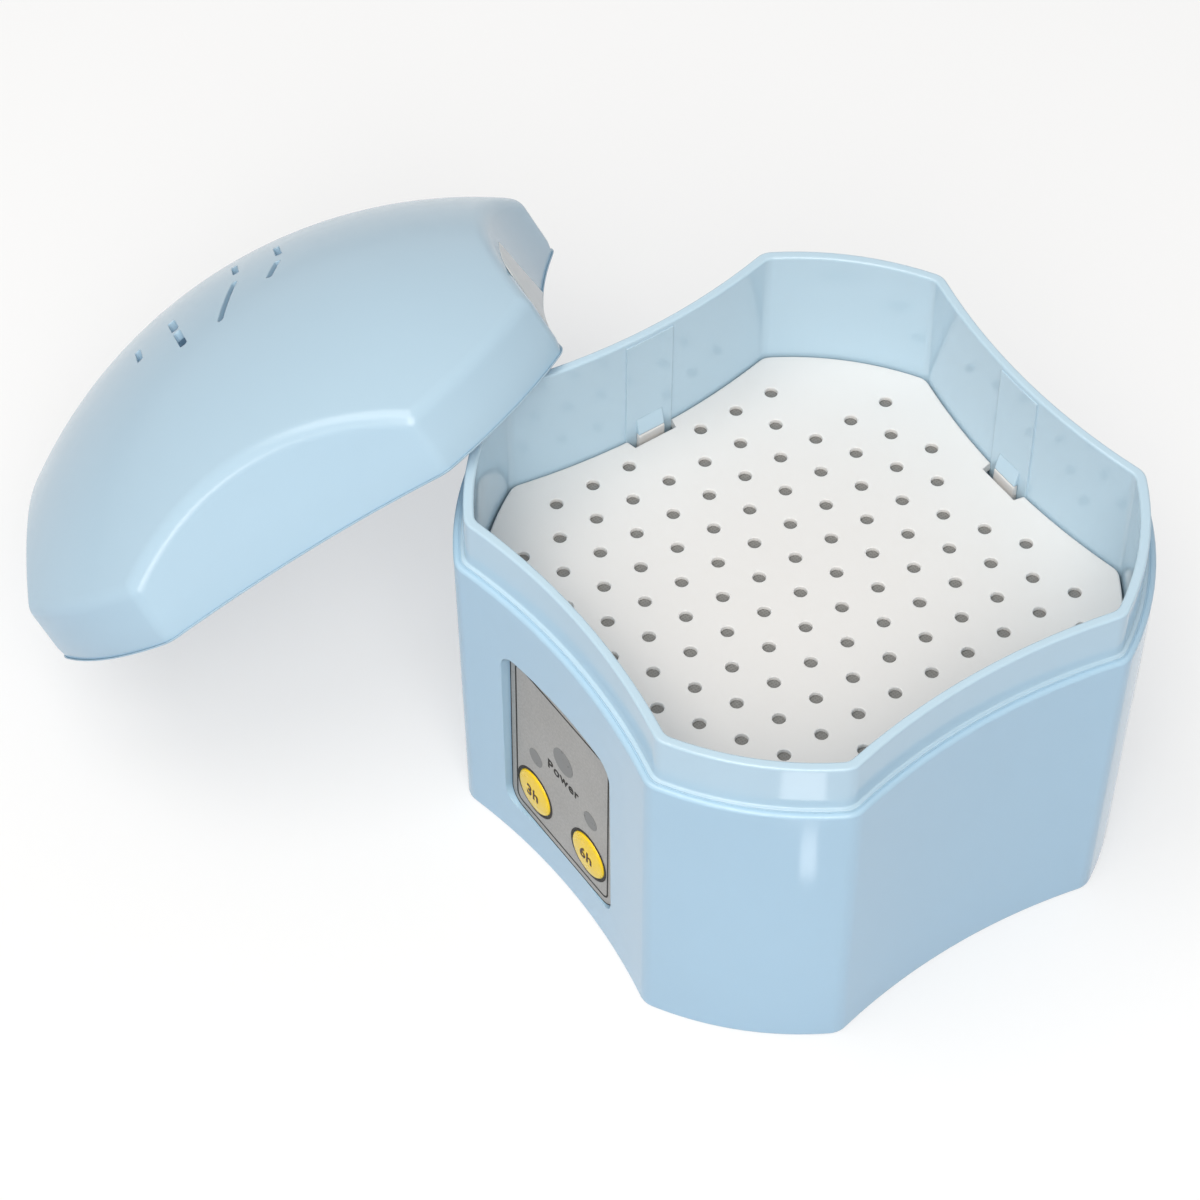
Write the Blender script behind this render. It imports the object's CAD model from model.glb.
"""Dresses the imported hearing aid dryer: shells, tray, lid, printed panel, finishes, floor, lights and camera.

Lengths in the classes below are millimetres, as a maker would write them, and every mesh is made in metres.
The origin is on the table under the case, +Z is up, and the control panel is on the -Y side.
"""

import logging
import math
from dataclasses import dataclass
from enum import Enum
from typing import Any, Iterable, Sequence

import bmesh
import bpy
from mathutils import Matrix, Vector


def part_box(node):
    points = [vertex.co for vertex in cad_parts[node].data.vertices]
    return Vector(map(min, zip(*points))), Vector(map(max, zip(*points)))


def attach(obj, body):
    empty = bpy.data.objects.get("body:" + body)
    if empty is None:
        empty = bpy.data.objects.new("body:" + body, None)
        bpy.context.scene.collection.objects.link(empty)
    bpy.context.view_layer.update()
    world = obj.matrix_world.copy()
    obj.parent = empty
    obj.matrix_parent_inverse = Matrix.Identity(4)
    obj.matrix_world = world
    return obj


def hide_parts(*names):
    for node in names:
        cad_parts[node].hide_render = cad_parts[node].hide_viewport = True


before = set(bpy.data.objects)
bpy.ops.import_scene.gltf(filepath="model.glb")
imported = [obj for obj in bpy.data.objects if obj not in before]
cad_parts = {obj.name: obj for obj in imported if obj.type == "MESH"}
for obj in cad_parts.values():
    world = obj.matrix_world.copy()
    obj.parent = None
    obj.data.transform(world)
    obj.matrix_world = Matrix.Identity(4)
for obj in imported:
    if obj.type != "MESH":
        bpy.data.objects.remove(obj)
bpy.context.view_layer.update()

MM = 0.001
WELD_DISTANCE = 2e-6
# How far a cutter stands out of what it cuts, in millimetres.
CUTTER_EXTRA = 1.0
# Above 50, large faces count for more in the shading of the edges between them.
LARGE_FACE_WEIGHT = 80
# Turns what is drawn flat on the XY plane to stand up and face -Y.
UPRIGHT = Matrix.Rotation(math.radians(90), 4, "X")
WHITE = (1, 1, 1, 1)
NODE_STEP = (190, -240)
NODES_IN_ROW = 8
# The wave texture's scale that puts its bands one unit apart.
WAVE_SCALE = 0.314
# The Mix node's sockets for two colours and their mix: their names are shared with its other data types.
MIX_LOW, MIX_HIGH, MIX_RESULT = 6, 7, 2

log = logging.getLogger("dryer")

Flat = tuple[float, float]
Point = tuple[float, float, float]
Face = tuple[int, ...]
Piece = bpy.types.Object
Tree = bpy.types.NodeTree
Socket = bpy.types.NodeSocket
Inputs = dict[str | int, Any]
Spread = tuple[Socket, float, float]


class Moving(Enum):
    """The bodies of the part that a piece can ride on."""

    CASE = "case"
    LID = "lid"
    BUTTON_3H = "button_3h"
    BUTTON_6H = "button_6h"


# Nodes and colours


def linear(hex_colour: str) -> tuple[float, float, float, float]:
    """Turns an sRGB hex colour into Blender's linear colour.

    Args:
        hex_colour: six hex digits, as in "b4d0e2".

    Returns:
        Red, green, blue and an alpha of one, as linear light.
    """
    parts = [int(hex_colour[i : i + 2], 16) / 255 for i in (0, 2, 4)]
    light = [c / 12.92 if c <= 0.04045 else ((c + 0.055) / 1.055) ** 2.4 for c in parts]
    return (light[0], light[1], light[2], 1.0)


def add_node(tree: Tree, kind: str, inputs: Inputs | None = None, **settings: Any) -> bpy.types.Node:
    """Adds one node to a tree.

    Args:
        tree: the node tree of a material, the world or a modifier.
        kind: the node's type name.
        inputs: what its input sockets get, each a plain value or the socket that feeds it.
        settings: the node's own options.

    Returns:
        The new node.
    """
    node = tree.nodes.new(kind)
    row, column = divmod(len(tree.nodes), NODES_IN_ROW)
    node.location = (NODE_STEP[0] * column, NODE_STEP[1] * row)
    for name, value in settings.items():
        setattr(node, name, value)
    for socket, value in (inputs or {}).items():
        if isinstance(value, Socket):
            tree.links.new(value, node.inputs[socket])
        else:
            node.inputs[socket].default_value = value
    return node


def emptied(owner: bpy.types.Material | bpy.types.World) -> Tree:
    """Makes a material or a world use nodes, and clears them.

    Args:
        owner: the material or the world.

    Returns:
        Its empty node tree.
    """
    owner.use_nodes = True
    owner.node_tree.nodes.clear()
    return owner.node_tree


# Finishes


@dataclass(frozen=True)
class Finish:
    """What every finish shares: a name, a colour, a roughness and patterns on Object coordinates."""

    name: str
    colour: str
    roughness: float = 0.4

    def material(self) -> bpy.types.Material:
        """Makes the finish's material the first time that it is asked for.

        Returns:
            The material.
        """
        found = bpy.data.materials.get(self.name)
        if found is None:
            found = bpy.data.materials.new(self.name)
            found.diffuse_color = linear(self.colour)
            tree = emptied(found)
            shader = add_node(tree, "ShaderNodeBsdfPrincipled", self.inputs(tree))
            add_node(tree, "ShaderNodeOutputMaterial", {"Surface": shader.outputs[0]})
        return found

    def inputs(self, tree: Tree) -> Inputs:
        """Builds the finish's patterns.

        Args:
            tree: the new material's node tree.

        Returns:
            What the sockets of the material's shader get.
        """
        raise NotImplementedError

    def pattern(self, tree: Tree, size_mm: float, detail: float, stretch: Point = (1, 1, 1)) -> Socket:
        """Adds a cloudy pattern whose blobs have a real size.

        Args:
            tree: the material's node tree.
            size_mm: about how far one blob is from the next.
            detail: how many finer layers it has.
            stretch: how much finer it is along each axis.

        Returns:
            Its grey output, about 0.5 in its middle.
        """
        place = add_node(tree, "ShaderNodeTexCoord")
        turned = add_node(tree, "ShaderNodeMapping", {"Vector": place.outputs["Object"], "Scale": stretch})
        inputs = {
            "Vector": turned.outputs["Vector"],
            "Scale": 1 / (size_mm * MM),
            "Detail": detail,
            "Roughness": 0.55,
        }
        return add_node(tree, "ShaderNodeTexNoise", inputs).outputs["Fac"]

    def surface(self, tree: Tree, colour: Spread | None, polish: Spread | None, relief: Spread) -> Inputs:
        """Lays patterns over the colour, the roughness and the relief.

        Args:
            tree: the material's node tree.
            colour: a pattern, and the shares of the brightness where it is dark and where it is light.
            polish: a pattern, and the shares of the roughness at the same places.
            relief: a pattern, how far it lifts the surface, and the radius that sharp edges seem to have.

        Returns:
            What the shader's colour, roughness and normal sockets get.
        """
        inputs: Inputs = {"Roughness": self.roughness}
        for socket, spread, whole in (("Base Color", colour, 1.0), ("Roughness", polish, self.roughness)):
            if spread:
                ranged = {
                    "Value": spread[0],
                    "From Min": 0.3,
                    "From Max": 0.7,
                    "To Min": spread[1] * whole,
                    "To Max": spread[2] * whole,
                }
                inputs[socket] = add_node(tree, "ShaderNodeMapRange", ranged).outputs["Result"]
        if colour:
            varied = {"Color": linear(self.colour), "Value": inputs["Base Color"]}
            inputs["Base Color"] = add_node(tree, "ShaderNodeHueSaturation", varied).outputs["Color"]
        pattern, depth_mm, edge_mm = relief
        lift: Inputs = {"Height": pattern, "Strength": 1.0, "Distance": depth_mm * MM}
        if edge_mm:
            soft = add_node(tree, "ShaderNodeBevel", {"Radius": edge_mm * MM}, samples=6)
            lift["Normal"] = soft.outputs["Normal"]
        inputs["Normal"] = add_node(tree, "ShaderNodeBump", lift).outputs["Normal"]
        return inputs


@dataclass(frozen=True)
class Moulded(Finish):
    """An injection-moulded plastic: even colour, the mould's faint texture, soft edges."""

    grain_mm: float = 0.8
    grain_depth_mm: float = 0.004
    edge_mm: float = 0.15
    mottle: float = 0.012
    glow: float = 0.0
    glow_mm: float = 1.2
    flow_mm: float = 26.0
    polish_mm: float = 5.0

    def inputs(self, tree: Tree) -> Inputs:
        """Builds flow marks in the colour, uneven polish and the mould's texture."""
        flow = self.pattern(tree, self.flow_mm, 3.0)
        polish = self.pattern(tree, self.polish_mm, 4.0)
        grain = self.pattern(tree, self.grain_mm, 3.0)
        colour = (flow, 1 - self.mottle, 1 + self.mottle)
        relief = (grain, self.grain_depth_mm, self.edge_mm)
        return self.surface(tree, colour, (polish, 0.85, 1.15), relief) | {
            "IOR": 1.5,
            "Subsurface Weight": self.glow,
            "Subsurface Radius": (1.0, 1.0, 1.0),
            "Subsurface Scale": self.glow_mm * MM,
        }


@dataclass(frozen=True)
class PrintedFilm(Finish):
    """Polyester film printed silver. Real flakes are finer than 0.1 mm, and are drawn coarser to show."""

    flake_mm: float = 0.35
    haze_mm: float = 9.0

    def inputs(self, tree: Tree) -> Inputs:
        """Builds flakes in the colour and the relief, under an uneven gloss."""
        flakes = self.pattern(tree, self.flake_mm, 1.0)
        haze = self.pattern(tree, self.haze_mm, 3.0)
        inputs = self.surface(tree, (flakes, 0.9, 1.1), (haze, 0.9, 1.2), (flakes, 0.006, 0.0))
        return inputs | {"Metallic": 0.25, "Coat Weight": 0.15, "Coat Roughness": 0.35}


@dataclass(frozen=True)
class Ink(Finish):
    """Screen-printed ink: a thin layer with slightly uneven cover."""

    unevenness: float = 0.15
    screen_mm: float = 0.6

    def inputs(self, tree: Tree) -> Inputs:
        """Builds the ink's uneven cover and the weave of the screen it was pushed through."""
        cover = self.pattern(tree, self.screen_mm, 3.0)
        colour = (cover, 1 - self.unevenness, 1 + self.unevenness)
        inputs = self.surface(tree, colour, (cover, 0.9, 1.1), (cover, 0.001, 0.0))
        return inputs | {"Specular IOR Level": 0.2}


@dataclass(frozen=True)
class Paper(Finish):
    """Coated label paper: dull white with faint fibres."""

    cloud_mm: float = 2.5
    fibre_mm: float = 0.4

    def inputs(self, tree: Tree) -> Inputs:
        """Builds cloudy patches in the colour and fibres in the relief."""
        cloud = self.pattern(tree, self.cloud_mm, 4.0)
        fibre = self.pattern(tree, self.fibre_mm, 4.0, (1, 1, 3))
        return self.surface(tree, (cloud, 0.97, 1.03), (fibre, 0.9, 1.1), (fibre, 0.006, 0.1))


@dataclass(frozen=True)
class Metal(Finish):
    """A bare metal with the marks that its making left along one direction."""

    mark_mm: float = 0.3
    along: Point = (0.06, 1, 1)
    depth_mm: float = 0.004
    skin_mm: float = 6.0

    def inputs(self, tree: Tree) -> Inputs:
        """Builds drawn-out rolling or turning marks, with a duller skin between them."""
        marks = self.pattern(tree, self.mark_mm, 3.0, self.along)
        skin = self.pattern(tree, self.skin_mm, 3.0)
        inputs = self.surface(tree, (skin, 0.92, 1.06), (marks, 0.75, 1.3), (marks, self.depth_mm, 0.08))
        return inputs | {"Metallic": 1.0}


@dataclass(frozen=True)
class SolderMask(Finish):
    """Green solder mask over copper: tracks show through it as lighter lines."""

    other_green: str = "0c4624"
    over_copper: str = "2c8048"
    track_mm: float = 2.6
    line_mm: float = 0.3

    def inputs(self, tree: Tree) -> Inputs:
        """Builds tracks on a square grid, lifted by the copper under the mask."""
        place = add_node(tree, "ShaderNodeTexCoord")
        upright = {"Vector": place.outputs["Object"], "Rotation": (math.radians(90), 0, 0)}
        grid = {
            "Vector": add_node(tree, "ShaderNodeMapping", upright).outputs["Vector"],
            "Color1": linear(self.colour),
            "Color2": linear(self.other_green),
            "Mortar": linear(self.over_copper),
            "Scale": 1.0,
            "Mortar Size": self.line_mm * MM,
            "Mortar Smooth": 0.15,
            "Brick Width": self.track_mm * 2 * MM,
            "Row Height": self.track_mm * MM,
        }
        tracks = add_node(tree, "ShaderNodeTexBrick", grid, offset=0.35, squash=0.6, squash_frequency=3)
        inputs = self.surface(tree, None, None, (tracks.outputs["Fac"], 0.03, 0.1))
        return inputs | {"Base Color": tracks.outputs["Color"], "Coat Weight": 0.4, "Coat Roughness": 0.2}


@dataclass(frozen=True)
class Epoxy(Finish):
    """Clear cast epoxy, as round lights are made of: see-through with a faint milkiness."""

    ripple_mm: float = 1.2

    def inputs(self, tree: Tree) -> Inputs:
        """Builds a clear body with the slight ripple of casting."""
        ripple = self.pattern(tree, self.ripple_mm, 2.0)
        inputs = self.surface(tree, (ripple, 0.95, 1.0), (ripple, 0.8, 1.4), (ripple, 0.01, 0.0))
        return inputs | {"Transmission Weight": 0.75, "IOR": 1.5}


@dataclass(frozen=True)
class Woven(Finish):
    """A plain weave of crossing threads. Real ones are about 0.3 mm apart, and are drawn coarser to show."""

    thread_mm: float = 0.7

    def inputs(self, tree: Tree) -> Inputs:
        """Builds two crossing sets of threads."""
        place = add_node(tree, "ShaderNodeTexCoord").outputs["Object"]
        bands = {"Vector": place, "Scale": WAVE_SCALE / (self.thread_mm * MM), "Distortion": 0.3}
        threads = []
        for axis in ("X", "Y"):
            style = {"wave_type": "BANDS", "bands_direction": axis, "wave_profile": "SIN"}
            threads.append(add_node(tree, "ShaderNodeTexWave", bands, **style).outputs["Fac"])
        weave = add_node(tree, "ShaderNodeMath", dict(enumerate(threads)), operation="MAXIMUM").outputs[0]
        return self.surface(tree, (weave, 0.8, 1.04), None, (weave, 0.1 * self.thread_mm, 0.2))


# Acrylonitrile butadiene styrene from a polished mould: glossy, light blue, a touch of glow in thin walls.
CASE_BLUE = Moulded("abs_light_blue_polished", "afcee2", 0.11, 1.6, 0.002, 0.2, 0.01, 0.08)
# The same plastic, moulded thin for the chamber: a shade paler.
LINER_BLUE = Moulded("abs_pale_blue_polished", "bcd5e4", 0.11, 1.6, 0.002, 0.2, 0.01, 0.1)
# The same for the lid, from a softer polish: broad, gentle highlights.
LID_BLUE = Moulded("abs_light_blue_lid", "b2cdde", 0.19, 1.6, 0.002, 0.2, 0.01, 0.08)
# The same from a plain steel mould: duller, for the cover that faces the table.
COVER_BLUE = Moulded("abs_light_blue_satin", "aecbde", 0.45, 0.6, 0.008, 0.2, 0.012)
# Polypropylene from a satin mould: soft white with low gloss.
TRAY_WHITE = Moulded("polypropylene_white_satin", "e4e2e0", 0.42, 0.7, 0.006, 0.15, 0.008, 0.1)
# Acetal, dense and slippery: warm yellow with a clear shine.
BUTTON_YELLOW = Moulded("acetal_yellow_gloss", "ffd400", 0.26, 0.9, 0.003, 0.15, 0.02, 0.08)
# Glass-filled nylon for switches and inlet: nearly black, with a dry satin skin.
BLACK_PLASTIC = Moulded("nylon_black_satin", "18181a", 0.42, 0.4, 0.008, 0.1, 0.08)
# Natural nylon for wire housings: milky off-white that glows a little at its edges.
WHITE_NYLON = Moulded("nylon_natural", "e9e4d6", 0.4, 0.5, 0.006, 0.1, 0.02, 0.2)
# PVC shrunk on the capacitor: dark blue and glossy.
CAPACITOR_SLEEVE = Moulded("pvc_shrink_sleeve_blue", "232a5c", 0.22, 1.2, 0.008, 0.1, 0.05)
# PVC wire: bright red with a smooth skin.
WIRE_RED = Moulded("pvc_wire_red", "b8201c", 0.35, 0.6, 0.01, 0.0, 0.06, 0.1)
# Silicone wire: grey, dusty and soft.
WIRE_GREY = Moulded("silicone_wire_grey", "66686c", 0.6, 0.5, 0.012, 0.0, 0.05)
# Glazed chip resistors: small, black and glassy.
RESISTOR_GLAZE = Moulded("glazed_chip_black", "1c1c20", 0.2, 0.3, 0.006, 0.05, 0.05)
# Silver printed polyester: flat grey with a fine sparkle.
PANEL_FILM = PrintedFilm("polyester_film_silver", "a3a09c", 0.42)
# Black screen ink of the words, the border line and the rings: matt, with soft edges to the eye.
DARK_INK = Ink("screen_ink_black", "1c1916", 0.5)
# Brown-black ink of the figures: softer than black on the yellow caps.
BROWN_INK = Ink("screen_ink_brown_black", "3f2410", 0.45)
# Smoked ink over the lights: grey, so that an unlit light stays hidden.
SMOKED_INK = Ink("screen_ink_smoked_grey", "807f7d", 0.3, 0.03)
# Coated paper of the blank labels: a cleaner, duller white than the plastics.
LABEL_PAPER = Paper("coated_label_paper", "f4f4f2", 0.5)
# Glass-fibre board under solder mask: deep green with lighter tracks under a thin gloss.
BOARD_GREEN = SolderMask("solder_mask_green", "10522a", 0.4)
# Clear cast epoxy of the lights: bright edges and a see-through middle.
LED_CLEAR = Epoxy("epoxy_clear_cast", "f2f4ef", 0.08)
# Zinc-plated steel of screws and nut: pale grey, even and fairly bright.
SCREW_STEEL = Metal("steel_zinc_plated", "c4c6ca", 0.3, 0.25, (1, 1, 1))
# Rolled aluminium sheet: light grey with streaks along the rolling.
PLATE_ALUMINIUM = Metal("aluminium_rolled", "d6d8da", 0.35)
# Spring steel strip: darker grey, streaked along the strip.
CLIP_STEEL = Metal("spring_steel_strip", "a8a9ab", 0.32, 0.25, (1, 0.06, 1))
# Woven glass sleeve round the heating block and the cutoff: cream, dry and ribbed.
SLEEVED_CERAMIC = Woven("glass_sleeve_on_ceramic", "dcd6c6", 0.8)
# Fine nylon gauze under the tray: mid grey, so that the holes read as grey dots.
GAUZE_GREY = Woven("nylon_gauze_grey", "7c7c7a", 0.7, 0.4)


# Outlines


@dataclass(frozen=True)
class Outline:
    """Four convex facets at the corners and four hollow sides between them.

    The steps are points on each half of a side, on each fillet and on each half of a facet.
    """

    facet_radius: float
    side_mid: float
    side_radius: float
    fillet: float
    side_steps: int = 14
    fillet_steps: int = 5
    facet_steps: int = 8

    def inset(self, distance: float) -> "Outline":
        """Returns the outline moved inwards by a distance."""
        return Outline(
            self.facet_radius - distance,
            self.side_mid - distance,
            self.side_radius + distance,
            max(self.fillet - distance, 0.6),
        )

    def ring(self) -> list[tuple[Vector, Vector]]:
        """Samples the outline once round.

        Returns:
            Pairs of a point and the outward direction there, anticlockwise from +X.
        """
        side_centre = Vector((self.side_mid + self.side_radius, 0))
        to_facet = self.facet_radius - self.fillet
        to_side = self.side_radius + self.fillet
        x = (to_facet**2 - to_side**2 + side_centre.x**2) / (2 * side_centre.x)
        corner = Vector((x, math.sqrt(to_facet**2 - x**2)))
        side_end = math.atan2(corner.y, corner.x - side_centre.x)
        facet_start = math.atan2(corner.y, corner.x)
        eighth = []
        for out in headings(math.pi, side_end, self.side_steps):
            eighth.append((side_centre + out * self.side_radius, -out))
        for out in headings(side_end - math.pi, facet_start, self.fillet_steps):
            eighth.append((corner + out * self.fillet, out))
        for out in headings(facet_start, math.pi / 4, self.facet_steps):
            eighth.append((out * self.facet_radius, out))
        diagonal = Vector((1, 1)).normalized()
        mirrored = [(Vector((p.y, p.x)), Vector((n.y, n.x))) for p, n in reversed(eighth[1:])]
        quarter = eighth + [(diagonal * self.facet_radius, diagonal)] + mirrored
        spins = [Matrix.Rotation(math.radians(90 * turn), 2) for turn in range(4)]
        return [(spin @ p, spin @ n) for spin in spins for p, n in quarter]

    def rings(self, levels: Iterable[Flat]) -> list[list[Point]]:
        """Returns one ring for each pair of an inset and a height."""
        return [[(p.x, p.y, z) for p, _ in self.inset(inset).ring()] for inset, z in levels]


def headings(start: float, end: float, steps: int) -> list[Vector]:
    """Returns unit vectors at even angles from a start, which is in, to an end, which is not."""
    angles = [start + (end - start) * step / steps for step in range(steps)]
    return [Vector((math.cos(angle), math.sin(angle))) for angle in angles]


def arc(start: float, end: float, steps: int) -> list[float]:
    """Returns even angles in radians between two angles in degrees, both ends in."""
    return [math.radians(start + (end - start) * step / steps) for step in range(steps + 1)]


def circle(radius: float, steps: int) -> list[Flat]:
    """Returns a circle about zero, anticlockwise from +X."""
    turns = [2 * math.pi * step / steps for step in range(steps)]
    return [(radius * math.cos(turn), radius * math.sin(turn)) for turn in turns]


# The outside of the case, which the lid shares.
OUTSIDE = Outline(46.0, 38.0, 91.6, 3.2)


# Meshes and pieces


def add_object(name: str, data: bpy.types.ID) -> Piece:
    """Makes an object and links it to the scene.

    Args:
        name: the object's name.
        data: its mesh, curve, lamp or camera.

    Returns:
        The new object.
    """
    made = bpy.data.objects.new(name, data)
    bpy.context.scene.collection.objects.link(made)
    return made


def new_piece(name: str, points: Iterable[Point], faces: Iterable[Face]) -> Piece:
    """Makes a piece at the origin.

    Args:
        name: the piece's name.
        points: its corners, in millimetres.
        faces: its faces, as indices into the points.

    Returns:
        The new object.
    """
    mesh = bpy.data.meshes.new(name)
    mesh.from_pydata([tuple(c * MM for c in point) for point in points], [], list(faces))
    mesh.update()
    return add_object(name, mesh)


def loft(rings: Sequence[Sequence[Point]], closed: bool = False) -> tuple[list[Point], list[Face]]:
    """Joins rings of equal length into a skin.

    Args:
        rings: the rings, each anticlockwise seen from above, so that the faces point outwards as they go up.
        closed: whether the last ring joins the first.

    Returns:
        The points and the faces.
    """
    count = len(rings[0])
    points = [point for ring in rings for point in ring]
    starts = [count * index for index in range(len(rings))]
    pairs = list(zip(starts, starts[1:])) + [(starts[-1], 0)] * closed
    faces = []
    for low, high in pairs:
        for step in range(count):
            after = (step + 1) % count
            faces.append((low + step, low + after, high + after, high + step))
    return points, faces


def capped(name: str, rings: Sequence[Sequence[Point]]) -> Piece:
    """Makes a solid piece from rings, with a flat face on the first and the last.

    Args:
        name: the piece's name.
        rings: the rings, from the bottom up.

    Returns:
        The new object.
    """
    points, faces = loft(rings)
    count = len(rings[0])
    ends = [tuple(reversed(range(count))), tuple(range(len(points) - count, len(points)))]
    return new_piece(name, points, faces + ends)


def finish_mesh(piece: Piece, finish: Finish, sharp_from: float = 24.0) -> None:
    """Smooths a piece's mesh between its sharp edges, and gives it one material.

    Args:
        piece: the piece, whose mesh is changed.
        finish: what it is made of.
        sharp_from: the bend in degrees from which an edge stays sharp.
    """
    mesh = piece.data
    work = bmesh.new()
    work.from_mesh(mesh)
    bmesh.ops.remove_doubles(work, verts=work.verts, dist=WELD_DISTANCE)
    for face in work.faces:
        face.smooth = True
        face.material_index = 0
    for edge in work.edges:
        edge.smooth = len(edge.link_faces) == 2 and edge.calc_face_angle(0.0) < math.radians(sharp_from)
    work.to_mesh(mesh)
    work.free()
    mesh.materials.clear()
    mesh.materials.append(finish.material())
    weighted = piece.modifiers.new("even_shading", "WEIGHTED_NORMAL")
    weighted.keep_sharp = True
    weighted.weight = LARGE_FACE_WEIGHT


def place(piece: Piece, body: Moving, slot: str, *nodes: str) -> None:
    """Makes a piece ride on a body, names its slot and hides what it stands for.

    Args:
        piece: the finished piece.
        body: what it moves with.
        slot: the record's material slot.
        nodes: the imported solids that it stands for, if any.
    """
    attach(piece, body.value)
    if nodes:
        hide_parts(*nodes)
    log.info("%s: %d faces, on %s", piece.name, len(piece.data.polygons), body.value)


def welded_copy(node: str, name: str, finish: Finish, body: Moving, slot: str) -> None:
    """Stands a welded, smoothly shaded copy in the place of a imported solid.

    Args:
        node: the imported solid's name.
        name: the copy's name.
        finish: what it is made of.
        body: what it moves with.
        slot: the record's material slot.
    """
    piece = add_object(name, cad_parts[node].data.copy())
    finish_mesh(piece, finish)
    place(piece, body, slot, node)


def dress_node(node: str, finish: Finish) -> None:
    """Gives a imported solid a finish, and leaves its shape alone.

    Args:
        node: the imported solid's name.
        finish: what it is made of.
    """
    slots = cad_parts[node].data.materials
    if slots:
        for index in range(len(slots)):
            slots[index] = finish.material()
    else:
        slots.append(finish.material())
    log.info("%s: %s", node, finish.name)


def evaluated_mesh(piece: Piece) -> bpy.types.Mesh:
    """Returns a new mesh of what an object's curve or modifiers give."""
    bpy.context.view_layer.update()
    graph = bpy.context.evaluated_depsgraph_get()
    return bpy.data.meshes.new_from_object(piece.evaluated_get(graph))


# Holes


def cutting_tree(name: str, finish: Finish) -> Tree:
    """Makes a Geometry Nodes tree that cuts one shape out of a body at every point of another object.

    Args:
        name: the tree's name.
        finish: the material of the result.

    Returns:
        The tree, with inputs for the body, the places, the cutter and the cutter's size.
    """
    tree = bpy.data.node_groups.new(name, "GeometryNodeTree")
    sockets = {"Geometry": "Geometry", "Places": "Object", "Cutter": "Object", "Cutter size": "Float"}
    for socket, kind in sockets.items():
        tree.interface.new_socket(socket, in_out="INPUT", socket_type=f"NodeSocket{kind}")
    tree.interface.new_socket("Geometry", in_out="OUTPUT", socket_type="NodeSocketGeometry")
    start = add_node(tree, "NodeGroupInput")
    places = add_node(tree, "GeometryNodeObjectInfo", {"Object": start.outputs["Places"]})
    cutter = add_node(tree, "GeometryNodeObjectInfo", {"Object": start.outputs["Cutter"]})
    turn = add_node(tree, "GeometryNodeInputNamedAttribute", {"Name": "turn"}, data_type="FLOAT")
    spin = add_node(tree, "ShaderNodeCombineXYZ", {"Z": turn.outputs["Attribute"]})
    wide = add_node(tree, "GeometryNodeInputNamedAttribute", {"Name": "stretch"}, data_type="FLOAT_VECTOR")
    stretch = {0: wide.outputs["Attribute"], "Scale": start.outputs["Cutter size"]}
    sized = add_node(tree, "ShaderNodeVectorMath", stretch, operation="SCALE")
    copies = {
        "Points": places.outputs["Geometry"],
        "Instance": cutter.outputs["Geometry"],
        "Rotation": spin.outputs[0],
        "Scale": sized.outputs[0],
    }
    dots = add_node(tree, "GeometryNodeInstanceOnPoints", copies)
    solid = add_node(tree, "GeometryNodeRealizeInstances", {"Geometry": dots.outputs[0]})
    bodies = {"Mesh 1": start.outputs["Geometry"], "Mesh 2": solid.outputs[0]}
    cut = add_node(tree, "GeometryNodeMeshBoolean", bodies, operation="DIFFERENCE", solver="MANIFOLD")
    whole = add_node(tree, "GeometryNodeRealizeInstances", {"Geometry": cut.outputs["Mesh"]})
    result = {"Geometry": whole.outputs[0], "Material": finish.material()}
    dressed = add_node(tree, "GeometryNodeSetMaterial", result)
    add_node(tree, "NodeGroupOutput", {0: dressed.outputs[0]})
    return tree


@dataclass(frozen=True)
class Cut:
    """One hole to cut: where, how far turned, and how much its cutter is stretched each way."""

    x: float
    y: float
    turn: float = 0.0
    stretch: Point = (1.0, 1.0, 1.0)


def cut_holes(piece: Piece, cuts: Sequence[Cut], cutter: Piece, finish: Finish, size: float = 1.0) -> None:
    """Cuts one shape out of a piece at many places, and leaves the result as its plain mesh.

    Args:
        piece: the piece to cut, with its faces outwards.
        cuts: where each hole goes, in millimetres.
        cutter: the shape of one hole, removed at the end.
        finish: the material of the result.
        size: how much the cutter is scaled everywhere.
    """
    places = new_piece(f"{piece.name}_places", [(cut.x, cut.y, 0) for cut in cuts], [])
    turns = places.data.attributes.new("turn", "FLOAT", "POINT")
    turns.data.foreach_set("value", [cut.turn for cut in cuts])
    stretches = places.data.attributes.new("stretch", "FLOAT_VECTOR", "POINT")
    stretches.data.foreach_set("vector", [value for cut in cuts for value in cut.stretch])
    tree = cutting_tree(f"cut_{piece.name}", finish)
    modifier = piece.modifiers.new("cuts", "NODES")
    modifier.node_group = tree
    given = {"Places": places, "Cutter": cutter, "Cutter size": size}
    for item in tree.interface.items_tree:
        if item.in_out == "INPUT" and item.name in given:
            modifier[item.identifier] = given[item.name]
    result, uncut = evaluated_mesh(piece), piece.data
    piece.modifiers.clear()
    piece.data = result
    bpy.data.meshes.remove(uncut)
    result.name = piece.name
    for helper in (places, cutter):
        bpy.data.objects.remove(helper)


# The tray


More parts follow.
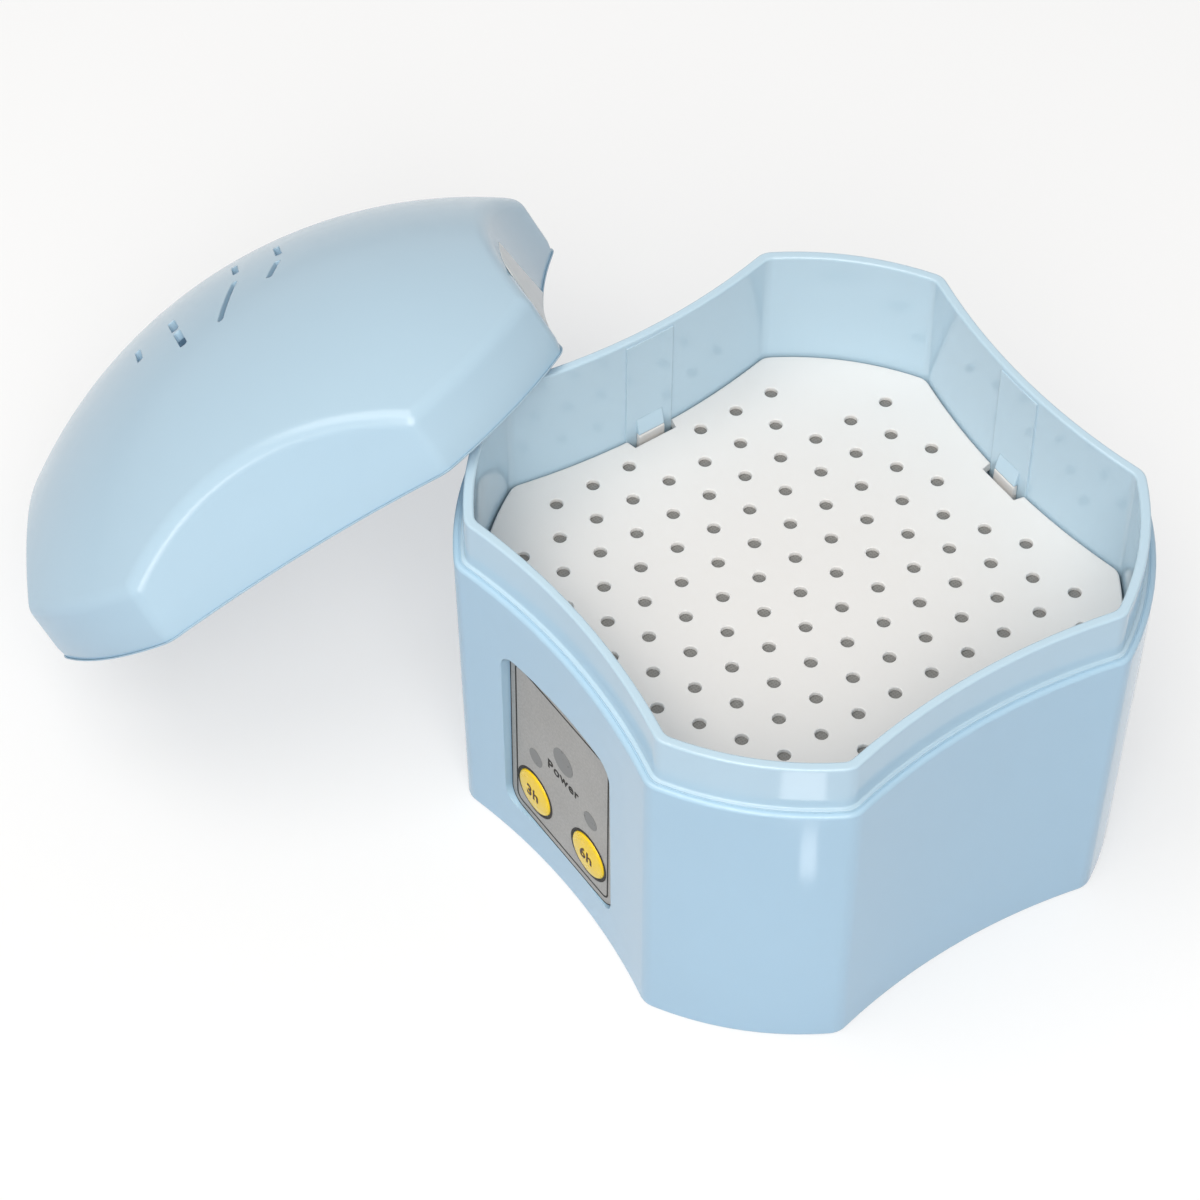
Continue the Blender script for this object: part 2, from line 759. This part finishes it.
@dataclass
class Tray:
    """The white tray: a plate on the shared outline with flared holes and a latch in a notch on each side."""

    outline: Outline = Outline(42.8, 35.0, 100.0, 2.4)
    top: float = 38.3
    thick: float = 1.6
    edge_round: float = 0.35
    sharp_from: float = 20.0
    hole_pitch: float = 6.0
    hole_radius: float = 0.9
    hole_flare: float = 0.15
    hole_sides: int = 28
    web: float = 0.65
    pocket_inset: float = 2.5
    gauze_thick: float = 0.15
    gauze_gap: Flat = (0.1, 0.02)
    column_reach: tuple[int, ...] = (24, 27, 30, 27, 30, 27, 18)
    cut_corner_reach: int = 15
    notch_reach: Flat = (33.4, 40.0)
    notch_half: Flat = (3.4, 4.9)
    latch_half: float = 2.1
    latch_leg: Flat = (31.9, 33.1)
    latch_finger: Flat = (34.3, 34.95)
    latch_low: float = 35.2
    latch_foot: float = 0.9
    latch_corner: float = 0.5
    latch_rise: float = 0.75
    latch_overlap: float = 0.02
    tip_round: float = 0.35
    tip_corner: Flat = (0.08, 0.12)

    def build(self) -> None:
        """Builds the plate, cuts it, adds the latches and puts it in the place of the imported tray."""
        plate = self.plate()
        quarters = [Cut(0, 0, math.radians(90 * turn)) for turn in range(4)]
        cut_holes(plate, quarters, self.notch_cutter(), TRAY_WHITE)
        cut_holes(plate, self.hole_places(), self.hole_cutter(), TRAY_WHITE)
        self.add_latches(plate)
        finish_mesh(plate, TRAY_WHITE, self.sharp_from)
        place(plate, Moving.CASE, "tray_white", "perforated_tray")
        self.gauze()

    def plate(self) -> Piece:
        """Returns the plain plate with its top edge rounded, and a pocket below that leaves a thin web."""
        low, edge = self.top - self.thick, self.edge_round
        levels = [(self.pocket_inset, self.top - self.web), (self.pocket_inset, low), (0.0, low)]
        for angle in arc(0, 90, 4):
            levels.append((edge * (1 - math.cos(angle)), self.top - edge * (1 - math.sin(angle))))
        return capped("tray_plate", self.outline.rings(levels))

    def gauze(self) -> None:
        """Builds the grey gauze in the plate's pocket, which shows in every hole."""
        inset = self.pocket_inset + self.gauze_gap[0]
        top = self.top - self.web - self.gauze_gap[1]
        piece = capped("tray_gauze", self.outline.rings([(inset, top - self.gauze_thick), (inset, top)]))
        finish_mesh(piece, GAUZE_GREY)
        place(piece, Moving.CASE, "tray_white")

    def notch_cutter(self) -> Piece:
        """Returns the shape of the notch that a latch stands in."""
        (floor, reach), (half_in, half_out) = self.notch_reach, self.notch_half
        corners = [(floor, -half_in), (reach, -half_out), (reach, half_out), (floor, half_in)]
        heights = (self.top - self.thick - CUTTER_EXTRA, self.top + CUTTER_EXTRA)
        return capped("notch_cutter", [[(x, y, z) for x, y in corners] for z in heights])

    def hole_places(self) -> list[Cut]:
        """Returns the middle of every hole, in columns that are shifted by half a pitch in turn."""
        step = self.hole_pitch * math.sqrt(3) / 2
        cuts = []
        for column in range(-6, 7):
            reach = self.column_reach[abs(column)]
            low = -self.cut_corner_reach if column == 5 else -reach
            high = self.cut_corner_reach if column == -5 else reach
            for y in range(low, high + 1, int(self.hole_pitch)):
                if not (abs(column) == 6 and y == 0):
                    cuts.append(Cut(column * step, y))
        return cuts

    def hole_cutter(self) -> Piece:
        """Returns the shape of one hole: a straight bore that flares at the top of the tray."""
        bore, flare = self.hole_radius, self.hole_flare
        profile = [(bore, self.top - self.thick - CUTTER_EXTRA)]
        for angle in arc(0, 90, 3):
            profile.append((bore + flare * (1 - math.cos(angle)), self.top - flare * (1 - math.sin(angle))))
        profile.append((bore + flare, self.top + CUTTER_EXTRA))
        rings = [[(x, y, z) for x, y in circle(radius, self.hole_sides)] for radius, z in profile]
        return capped("hole_cutter", rings)

    def add_latches(self, plate: Piece) -> None:
        """Joins the four springy latches to the plate's mesh.

        Args:
            plate: the tray's plate, after its cuts.
        """
        (leg_in, leg_out), (inner, outer) = self.latch_leg, self.latch_finger
        floor, foot, corner = self.latch_low, self.latch_low + self.latch_foot, self.latch_corner
        tip, curl = self.top + self.latch_rise, self.tip_round
        root = self.top - self.thick + self.latch_overlap
        profile = [(leg_in, root), (leg_in, floor + corner), (leg_in + corner, floor), (outer, floor)]
        profile += [(outer, tip - self.tip_corner[1]), (outer - self.tip_corner[0], tip)]
        for angle in arc(90, 180, 5):
            profile.append((inner + curl + curl * math.cos(angle), tip - curl + curl * math.sin(angle)))
        profile += [(inner, foot), (leg_out, foot), (leg_out, root)]
        ends = (self.latch_half, -self.latch_half)
        latch = capped("latch", [[(x, y, z) for x, z in profile] for y in ends])
        work = bmesh.new()
        work.from_mesh(plate.data)
        for turn in range(4):
            part = latch.data.copy()
            part.transform(Matrix.Rotation(math.radians(90 * turn), 4, "Z"))
            work.from_mesh(part)
            bpy.data.meshes.remove(part)
        work.to_mesh(plate.data)
        work.free()
        bpy.data.objects.remove(latch)


# The lid


@dataclass
class Lid:
    """The domed lid, in its own frame with the rim at zero, then leaning where it rests on the table."""

    outline: Outline = OUTSIDE
    apex: float = 27.0
    dome_radius: float = 68.1
    wall: float = 1.3
    edge_round: float = 3.2
    inner_round: float = 1.4
    rim_round: float = 0.35
    sharp_from: float = 30.0
    wall_steps: int = 4
    round_steps: int = 8
    dome_steps: int = 26
    middle: Flat = (-64.3, -36.15)
    lean: Point = (-159.54, 41.0, -134.8)
    # Each slot's two ends and its width.
    slots: tuple[tuple[Flat, Flat, float], ...] = (
        ((-11.9, -1.7), (-11.2, -6.3), 1.0),
        ((-5.8, -1.1), (-4.9, -5.7), 1.2),
        ((-4.7, -6.5), (-3.6, -12.0), 1.2),
        ((4.0, 7.6), (4.8, 2.3), 0.95),
        ((4.9, -1.2), (2.3, -11.8), 0.95),
        ((10.6, 6.8), (11.4, 1.6), 0.95),
        ((11.4, -1.0), (10.0, -6.0), 0.95),
    )
    slot_depths: Flat = (12.0, -4.0)
    slot_corner: Flat = (0.46, 0.25)
    label_foot: Flat = (-10.0, 5.0)
    label_head: Flat = (-15.9, -0.9)
    label_heights: Flat = (0.6, 11.7)
    label_thick: float = 0.15
    label_steps: tuple[int, int] = (16, 10)

    def build(self) -> None:
        """Builds the shell, cuts its slots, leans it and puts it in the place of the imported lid."""
        shell = self.shell()
        cut_holes(shell, self.slot_places(), self.slot_cutter(), LID_BLUE)
        self.lean_over(shell)
        finish_mesh(shell, LID_BLUE, self.sharp_from)
        place(shell, Moving.LID, "case_blue", "lid_shell")
        label = self.label()
        self.lean_over(label)
        finish_mesh(label, LABEL_PAPER)
        place(label, Moving.LID, "label_paper")

    def label(self) -> Piece:
        """Returns the blank label, wrapped on the hollow side that faces the lid's own +X."""
        centre = self.outline.side_mid + self.outline.side_radius
        low, high = self.label_heights
        across, up = self.label_steps
        points: list[Point] = []
        for lift in (0.0, self.label_thick):
            radius = self.outline.side_radius - lift
            for row in range(up + 1):
                share = row / up
                left, right = (a + (b - a) * share for a, b in zip(self.label_foot, self.label_head))
                for column in range(across + 1):
                    y = left + (right - left) * column / across
                    points.append((centre - math.sqrt(radius**2 - y**2), y, low + (high - low) * share))
        count, wide = len(points) // 2, across + 1
        faces: list[Face] = []
        for corner in (row * wide + column for row in range(up) for column in range(across)):
            square = (corner, corner + 1, corner + wide + 1, corner + wide)
            faces += [tuple(count + index for index in square), square[::-1]]
        bottom, right_side = range(wide), range(across, count, wide)
        top, left_side = range(count - 1, count - wide - 1, -1), range(up * wide, -1, -wide)
        for edge in (bottom, right_side, top, left_side):
            faces += [(a, b, count + b, count + a) for a, b in zip(edge, edge[1:])]
        return new_piece("blank_lid_label", points, faces)

    def skin(self, inset: float, ball: float, rounding: float) -> list[list[Point]]:
        """Builds the rings of one side of the shell, from just above the rim to near the apex.

        Args:
            inset: how far inside the outline the wall stands.
            ball: the dome's radius.
            rounding: the radius between the wall and the dome.

        Returns:
            The rings, from the bottom up.
        """
        centre = Vector((0, 0, self.apex - self.dome_radius))
        columns = []
        for point, out in self.outline.inset(inset).ring():
            axis = point - out * rounding
            height = centre.z + math.sqrt((ball - rounding) ** 2 - axis.length_squared)
            pivot = Vector((axis.x, axis.y, height))
            side = Vector((out.x, out.y, 0))
            crown = (pivot - centre).normalized()
            heights = [height * step / self.wall_steps for step in range(1, self.wall_steps)]
            column = [Vector((point.x, point.y, z)) for z in heights]
            bend = side.angle(crown)
            for step in range(self.round_steps + 1):
                share = step / self.round_steps
                way = (side * math.sin((1 - share) * bend) + crown * math.sin(share * bend)) / math.sin(bend)
                column.append(pivot + way * rounding)
            top = column[-1]
            for step in range(1, self.dome_steps):
                flat = Vector((top.x, top.y)) * (1 - step / self.dome_steps)
                column.append(Vector((flat.x, flat.y, centre.z + math.sqrt(ball**2 - flat.length_squared))))
            columns.append(column)
        return [[tuple(point) for point in ring] for ring in zip(*columns)]

    def shell(self) -> Piece:
        """Returns the whole shell before its slots are cut: inside, rim and outside, in one skin."""
        outside = self.skin(0.0, self.dome_radius, self.edge_round)
        inside = self.skin(self.wall, self.dome_radius - self.wall, self.inner_round)
        size = self.rim_round
        rim = [(size * (1 - math.sin(angle)), size * (1 - math.cos(angle))) for angle in arc(90, 0, 5)]
        levels = [(self.wall - inset, z) for inset, z in rim] + rim
        points, faces = loft(inside[::-1] + self.outline.rings(levels) + outside)
        count, tips = len(outside[0]), len(points)
        points += [(0.0, 0.0, self.apex - self.wall), (0.0, 0.0, self.apex)]
        for step in range(count):
            after = (step + 1) % count
            faces += [(after, step, tips), (tips - count + step, tips - count + after, tips + 1)]
        return new_piece("lid_dome", points, faces)

    def slot_places(self) -> list[Cut]:
        """Returns each slot's middle, turn and size, from its two ends and its width."""
        cuts = []
        for start, end, wide in self.slots:
            line = Vector(end) - Vector(start)
            middle = (Vector(end) + Vector(start)) / 2
            cuts.append(Cut(middle.x, middle.y, math.atan2(line.y, line.x), (line.length, wide, 1.0)))
        return cuts

    def slot_cutter(self) -> Piece:
        """Returns the shape of one slot, a unit long and a unit wide, with its corners taken off."""
        x, y = self.slot_corner
        corners = [(-0.5, -y), (-x, -0.5), (x, -0.5), (0.5, -y), (0.5, y), (x, 0.5), (-x, 0.5), (-0.5, y)]
        heights = [self.apex - depth for depth in self.slot_depths]
        return capped("slot_cutter", [[(x, y, z) for x, y in corners] for z in heights])

    def lean_over(self, piece: Piece) -> None:
        """Turns a piece from the lid's own frame to where the lid leans on the table.

        Args:
            piece: a piece made in the lid's own frame.
        """
        first, tilt, turn = (
            Matrix.Rotation(math.radians(angle), 4, axis) for angle, axis in zip(self.lean, "ZYZ")
        )
        turned = first @ tilt @ turn
        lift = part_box("lid_shell")[1].z - self.highest(turned)
        move = Matrix.Translation((self.middle[0] * MM, self.middle[1] * MM, lift))
        piece.data.transform(move @ turned)

    def highest(self, turned: Matrix) -> float:
        """Returns how high the turned outside of the lid reaches over its rim's middle, in metres."""
        skin = self.skin(0.0, self.dome_radius, self.edge_round)
        return max((turned @ Vector(point)).z for ring in skin for point in ring) * MM


# The printed control panel and its buttons


@dataclass
class Panel:
    """What is printed on the panel's film and on the buttons, and the rings round them."""

    film_face: float = -37.5
    middle: Flat = (-1.5, 22.8)
    size: Flat = (24.0, 31.6)
    corner: float = 2.5
    least_corner: float = 0.5
    corner_steps: int = 8
    round_sides: int = 48
    ink: float = 0.03
    line_inset: float = 1.15
    line_wide: float = 0.28
    cut_edge_wide: float = 0.14
    buttons: tuple[tuple[str, float, Moving], ...] = (
        ("3h", -7.95, Moving.BUTTON_3H),
        ("6h", 4.75, Moving.BUTTON_6H),
    )
    button_z: float = 13.55
    ring_radii: Flat = (4.12, 3.7)
    ring_thick: float = 0.045
    cap_face: float = -38.0
    cap_dome: float = 22.0
    # Each light's window: x, z and radius.
    lights: tuple[tuple[str, Point], ...] = (
        ("power", (-1.2, 27.4, 2.25)),
        ("3h", (-7.68, 21.5, 1.5)),
        ("6h", (5.12, 21.5, 1.5)),
    )
    # How tall the letters' lines are, and how far apart the letters stand as a share of the usual.
    word_type: Flat = (2.5, 1.12)
    figure_type: Flat = (2.8, 1.05)
    word_place: Flat = (-1.25, 23.6)
    letter_swell: float = 0.055
    letter_steps: int = 6

    def build(self) -> None:
        """Builds the print on the film, the rings, the smoked windows and the figures on the buttons."""
        line = [self.rounded(self.line_inset), self.rounded(self.line_inset + self.line_wide)]
        self.printed("panel_border_line", line, DARK_INK)
        self.printed("panel_cut_edge", [self.rounded(0.0), self.rounded(self.cut_edge_wide)], DARK_INK)
        for mode, x, _ in self.buttons:
            ring = [self.disc(x, self.button_z, radius) for radius in self.ring_radii]
            self.printed(f"button_ring_{mode}", ring, DARK_INK, "black_plastic", self.ring_thick)
        for name, window in self.lights:
            self.printed(f"window_{name}", [self.disc(*window)], SMOKED_INK)
        self.power_word()
        for mode, x, body in self.buttons:
            welded_copy(f"button_{mode}", f"button_cap_{mode}", BUTTON_YELLOW, body, "button_yellow")
            self.button_figure(mode, x, body)

    def printed(
        self,
        name: str,
        loops: Sequence[Sequence[Flat]],
        finish: Finish,
        slot: str = "panel_film",
        thick: float | None = None,
    ) -> None:
        """Builds a flat printed shape on the film, with holes where outlines nest.

        Args:
            name: the piece's name.
            loops: closed outlines as x and z.
            finish: its ink.
            slot: the record's material slot.
            thick: how far it stands out, or nothing for a layer of ink.
        """
        thick = thick or self.ink
        curve = bpy.data.curves.new(name, "CURVE")
        curve.dimensions = "2D"
        curve.fill_mode = "BOTH"
        curve.extrude = thick / 2
        for loop in loops:
            line = curve.splines.new("POLY")
            line.points.add(len(loop) - 1)
            for point, (x, z) in zip(line.points, loop):
                point.co = (x, z, 0, 1)
            line.use_cyclic_u = True
        stand = Matrix.Translation((0, self.film_face - thick / 2, 0)) @ UPRIGHT
        piece = self.as_piece(name, curve, Matrix.Scale(MM, 4) @ stand)
        finish_mesh(piece, finish)
        place(piece, Moving.CASE, slot)

    def as_piece(self, name: str, curve: bpy.types.Curve, move: Matrix) -> Piece:
        """Turns a flat curve or a text into a mesh piece in its place.

        Args:
            name: the piece's name.
            curve: the curve or text, removed at the end.
            move: what puts it in its place.

        Returns:
            The mesh piece at the origin.
        """
        drawn = add_object(name, curve)
        mesh = evaluated_mesh(drawn)
        bpy.data.objects.remove(drawn)
        bpy.data.curves.remove(curve)
        mesh.transform(move)
        mesh.name = name
        return add_object(name, mesh)

    def rounded(self, inset: float) -> list[Flat]:
        """Returns the film's rounded outline moved inwards, as x and z."""
        radius = max(self.corner - inset, self.least_corner)
        half_x, half_z = (side / 2 - inset - radius for side in self.size)
        loop = []
        for quarter, (sx, sz) in enumerate(((1, 1), (-1, 1), (-1, -1), (1, -1))):
            x, z = self.middle[0] + sx * half_x, self.middle[1] + sz * half_z
            for angle in arc(90 * quarter, 90 * quarter + 90, self.corner_steps):
                loop.append((x + radius * math.cos(angle), z + radius * math.sin(angle)))
        return loop

    def disc(self, x: float, z: float, radius: float) -> list[Flat]:
        """Returns a circle on the panel, as x and z."""
        return [(x + across, z + up) for across, up in circle(radius, self.round_sides)]

    def lettering(self, name: str, words: str, size: float, spacing: float) -> Piece:
        """Builds words as a flat mesh about the origin, in millimetres.

        Args:
            name: the piece's name.
            words: what it says.
            size: the height of a line.
            spacing: how far apart the letters stand, as a share of the usual.

        Returns:
            The words, standing on the XZ plane and facing -Y.
        """
        text = bpy.data.curves.new(name, "FONT")
        text.body = words
        text.size = size
        text.space_character = spacing
        text.align_x = text.align_y = "CENTER"
        text.offset = self.letter_swell
        text.extrude = self.ink / 2
        text.resolution_u = self.letter_steps
        return self.as_piece(name, text, UPRIGHT)

    def power_word(self) -> None:
        """Builds the word beside the power light."""
        word = self.lettering("power_word", "Power", *self.word_type)
        spot = Matrix.Translation((self.word_place[0], self.film_face - self.ink / 2, self.word_place[1]))
        word.data.transform(Matrix.Scale(MM, 4) @ spot)
        finish_mesh(word, DARK_INK)
        place(word, Moving.CASE, "panel_film")

    def button_figure(self, mode: str, x: float, body: Moving) -> None:
        """Builds a button's figure, curved to its domed face.

        Args:
            mode: which button.
            x: where the button's middle is.
            body: the body that the button is.
        """
        figure = self.lettering(f"figure_{mode}", mode, *self.figure_type)
        for vertex in figure.data.vertices:
            lift = self.cap_dome - math.sqrt(self.cap_dome**2 - vertex.co.x**2 - vertex.co.z**2)
            vertex.co.y += self.cap_face + lift - self.ink / 2
        figure.data.transform(Matrix.Scale(MM, 4) @ Matrix.Translation((x, 0, self.button_z)))
        finish_mesh(figure, BROWN_INK)
        place(figure, body, "button_yellow")


# The case, and what is inside it


@dataclass
class Case:
    """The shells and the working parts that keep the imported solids' shapes."""

    smooth: tuple[tuple[str, str, Finish, str], ...] = (
        ("case_shell", "case_outer_shell", CASE_BLUE, "case_blue"),
        ("chamber_liner", "chamber_inner_shell", LINER_BLUE, "case_blue"),
        ("bottom_cover", "bottom_cover_plate", COVER_BLUE, "cover_blue"),
        ("case_screws", "case_screw_set", SCREW_STEEL, "screw_steel"),
        ("dc_jack", "inlet_barrel", BLACK_PLASTIC, "black_plastic"),
        ("side_label", "blank_side_label", LABEL_PAPER, "label_paper"),
        ("led_power", "light_power", LED_CLEAR, "led_clear"),
        ("led_3h", "light_3h", LED_CLEAR, "led_clear"),
        ("led_6h", "light_6h", LED_CLEAR, "led_clear"),
        ("capacitor", "capacitor_can", CAPACITOR_SLEEVE, "capacitor_sleeve"),
        ("inlet_leads", "inlet_wires", WIRE_RED, "wire_red"),
        ("heater_leads", "heater_wires", WIRE_GREY, "wire_grey"),
        ("thermal_cutoff", "heat_cutoff", SLEEVED_CERAMIC, "ceramic_block"),
        ("ptc_heater", "heating_block", SLEEVED_CERAMIC, "ceramic_block"),
        ("heater_screws", "heater_screw_set", SCREW_STEEL, "screw_steel"),
        ("board_screws", "board_screw_set", SCREW_STEEL, "screw_steel"),
        ("clip_screws", "clip_screw_set", SCREW_STEEL, "screw_steel"),
        ("jack_nut", "inlet_nut", SCREW_STEEL, "screw_steel"),
    )
    plain: tuple[tuple[str, Finish], ...] = (
        ("panel_overlay", PANEL_FILM),
        ("control_board", BOARD_GREEN),
        ("timer_chip", BLACK_PLASTIC),
        ("heater_transistor", BLACK_PLASTIC),
        ("chip_resistors", RESISTOR_GLAZE),
        ("heater_plate", PLATE_ALUMINIUM),
        ("heater_clip", CLIP_STEEL),
        ("tact_switch_3h", BLACK_PLASTIC),
        ("tact_switch_6h", BLACK_PLASTIC),
        ("switch_plunger_3h", BLACK_PLASTIC),
        ("switch_plunger_6h", BLACK_PLASTIC),
        ("inlet_connector", WHITE_NYLON),
        ("heater_connector", WHITE_NYLON),
    )
    seam_insets: Flat = (0.8, 1.02)
    seam_heights: Flat = (49.2, 49.73)

    def build(self) -> None:
        """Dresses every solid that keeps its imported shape."""
        self.seam()
        for node, name, finish, slot in self.smooth:
            welded_copy(node, name, finish, Moving.CASE, slot)
        for node, finish in self.plain:
            dress_node(node, finish)

    def seam(self) -> None:
        """Closes the seam between the case and the rim, so that it reads as a fine groove."""
        (outer, inner), (low, high) = self.seam_insets, self.seam_heights
        rings = OUTSIDE.rings([(inner, low), (outer, low), (outer, high), (inner, high)])
        piece = new_piece("seam_bead", *loft(rings, closed=True))
        finish_mesh(piece, CASE_BLUE)
        place(piece, Moving.CASE, "case_blue")


# Floor, lights and camera


@dataclass
class Studio:
    """A pale floor, soft lamps and the camera."""

    camera_place: Point = (272.72, -223.28, 461.35)
    camera_right: Point = (0.56953, 0.82196, 0.00361)
    camera_down: Point = (0.63477, -0.43703, -0.63724)
    camera_ahead: Point = (-0.52221, 0.36522, -0.77066)
    lens: float = 124.05
    sensor: float = 36.0
    clip_metres: Flat = (0.01, 20.0)
    floor_radius: float = 4000.0
    floor_height: float = -0.02
    floor_sides: int = 96
    floor_colour: str = "f8f8f8"
    floor_bounce: str = "b8c5d3"
    floor_white: float = 0.5
    surround_colour: str = "f7fbff"
    ambient: float = 0.38
    # Each softbox's place and side in metres, and its watts.
    softboxes: tuple[tuple[str, Point, float, float], ...] = (
        ("key_softbox", (0.53, -0.42, 0.74), 0.65, 6.5),
        ("top_softbox", (-0.1, -0.35, 0.95), 0.6, 3.4),
    )
    softbox_target: Point = (-0.02, -0.02, 0.03)
    softbox_colour: Point = (1.0, 0.96, 0.91)
    # Small lamps that lie on the table and face up, for the highlights on the upright walls: place and sides.
    low_lamps: tuple[tuple[str, Point, Flat], ...] = (
        ("rim_low_lamp", (70.45, -50.2, 0.2), (11.0, 16.5)),
        ("corner_low_lamp", (61.4, -41.2, 0.2), (7.8, 4.6)),
    )
    low_lamp_turn: float = -34.8
    low_lamp_colour: Point = (1.0, 1.0, 1.0)
    watts_per_square_metre: float = 8.0

    def build(self) -> None:
        """Builds the studio round the object."""
        self.floor()
        self.world()
        for name, spot, side, watts in self.softboxes:
            facing = (Vector(self.softbox_target) - Vector(spot)).to_track_quat("-Z", "Y").to_euler()
            self.lamp(name, spot, facing, (side, side), watts, self.softbox_colour)
        facing_up = (math.pi, 0.0, math.radians(self.low_lamp_turn))
        for name, spot, (wide, deep) in self.low_lamps:
            sides = (wide * MM, deep * MM)
            watts = self.watts_per_square_metre * sides[0] * sides[1]
            self.lamp(name, Vector(spot) * MM, facing_up, sides, watts, self.low_lamp_colour)
        self.camera()

    def seen_directly(self, tree: Tree) -> Socket:
        """Adds nodes that tell a look from a bounce of light.

        Args:
            tree: the material's or the world's node tree.

        Returns:
            One for what is seen straight, in a reflection or through glass, and zero for the rest.
        """
        path = add_node(tree, "ShaderNodeLightPath")
        seen = path.outputs["Is Camera Ray"]
        for ray in ("Is Glossy Ray", "Is Transmission Ray"):
            either = add_node(tree, "ShaderNodeMath", {0: seen, 1: path.outputs[ray]}, operation="MAXIMUM")
            seen = either.outputs[0]
        return seen

    def floor(self) -> None:
        """Builds a round white floor that keeps the object's shadow."""
        points = [(x, y, self.floor_height) for x, y in circle(self.floor_radius, self.floor_sides)]
        piece = new_piece("studio_floor", points, [tuple(range(self.floor_sides))])
        material = bpy.data.materials.new("studio_paper_white")
        tree = emptied(material)
        seen = self.seen_directly(tree)
        tones = {"Factor": seen, MIX_LOW: linear(self.floor_bounce), MIX_HIGH: linear(self.floor_colour)}
        colour = add_node(tree, "ShaderNodeMix", tones, data_type="RGBA")
        paper = add_node(tree, "ShaderNodeBsdfDiffuse", {"Color": colour.outputs[MIX_RESULT]})
        white = add_node(tree, "ShaderNodeEmission", {"Color": WHITE, "Strength": 1.0})
        share = add_node(tree, "ShaderNodeMath", {0: seen, 1: self.floor_white}, operation="MULTIPLY")
        shaders = {0: share.outputs[0], 1: paper.outputs[0], 2: white.outputs[0]}
        mixed = add_node(tree, "ShaderNodeMixShader", shaders)
        add_node(tree, "ShaderNodeOutputMaterial", {"Surface": mixed.outputs[0]})
        piece.data.materials.append(material)

    def world(self) -> None:
        """Builds an even white surround: full white to look at, softer as a light."""
        world = bpy.data.worlds.new("studio_surround")
        tree = emptied(world)
        cool = {"Color": linear(self.surround_colour), "Strength": self.ambient}
        soft = add_node(tree, "ShaderNodeBackground", cool)
        white = add_node(tree, "ShaderNodeBackground", {"Color": WHITE, "Strength": 1.0})
        shaders = {0: self.seen_directly(tree), 1: soft.outputs[0], 2: white.outputs[0]}
        mixed = add_node(tree, "ShaderNodeMixShader", shaders)
        add_node(tree, "ShaderNodeOutputWorld", {"Surface": mixed.outputs[0]})
        bpy.context.scene.world = world

    def lamp(
        self,
        name: str,
        spot: Sequence[float],
        turn: Sequence[float],
        sides: Flat,
        watts: float,
        colour: Point,
    ) -> None:
        """Adds a flat lamp.

        Args:
            name: the lamp's name.
            spot: where its middle is, in metres.
            turn: its turns about the three axes, in radians.
            sides: its two sides, in metres.
            watts: its power.
            colour: the colour of its light.
        """
        light = bpy.data.lights.new(name, "AREA")
        light.shape = "RECTANGLE"
        light.size, light.size_y = sides
        light.energy = watts
        light.color = colour
        lamp = add_object(name, light)
        lamp.location = spot
        lamp.rotation_euler = turn

    def camera(self) -> None:
        """Adds the camera."""
        lens = bpy.data.cameras.new("studio_camera")
        lens.lens = self.lens
        lens.sensor_width = self.sensor
        lens.clip_start, lens.clip_end = self.clip_metres
        camera = add_object("studio_camera", lens)
        right, down, ahead = (Vector(v) for v in (self.camera_right, self.camera_down, self.camera_ahead))
        turn = Matrix((right, -down, -ahead)).transposed()
        camera.matrix_world = Matrix.Translation(Vector(self.camera_place) * MM) @ turn.to_4x4()
        bpy.context.scene.camera = camera


def main() -> None:
    """Builds the dryer's looks and the studio, and notes both sizes."""
    logging.basicConfig(level=logging.INFO, format="%(name)s: %(message)s")
    bpy.context.scene.view_settings.view_transform = "Standard"
    for part in (Studio(), Case(), Tray(), Lid(), Panel()):
        log.info("building %s", type(part).__name__)
        part.build()


if __name__ == "__main__":
    main()
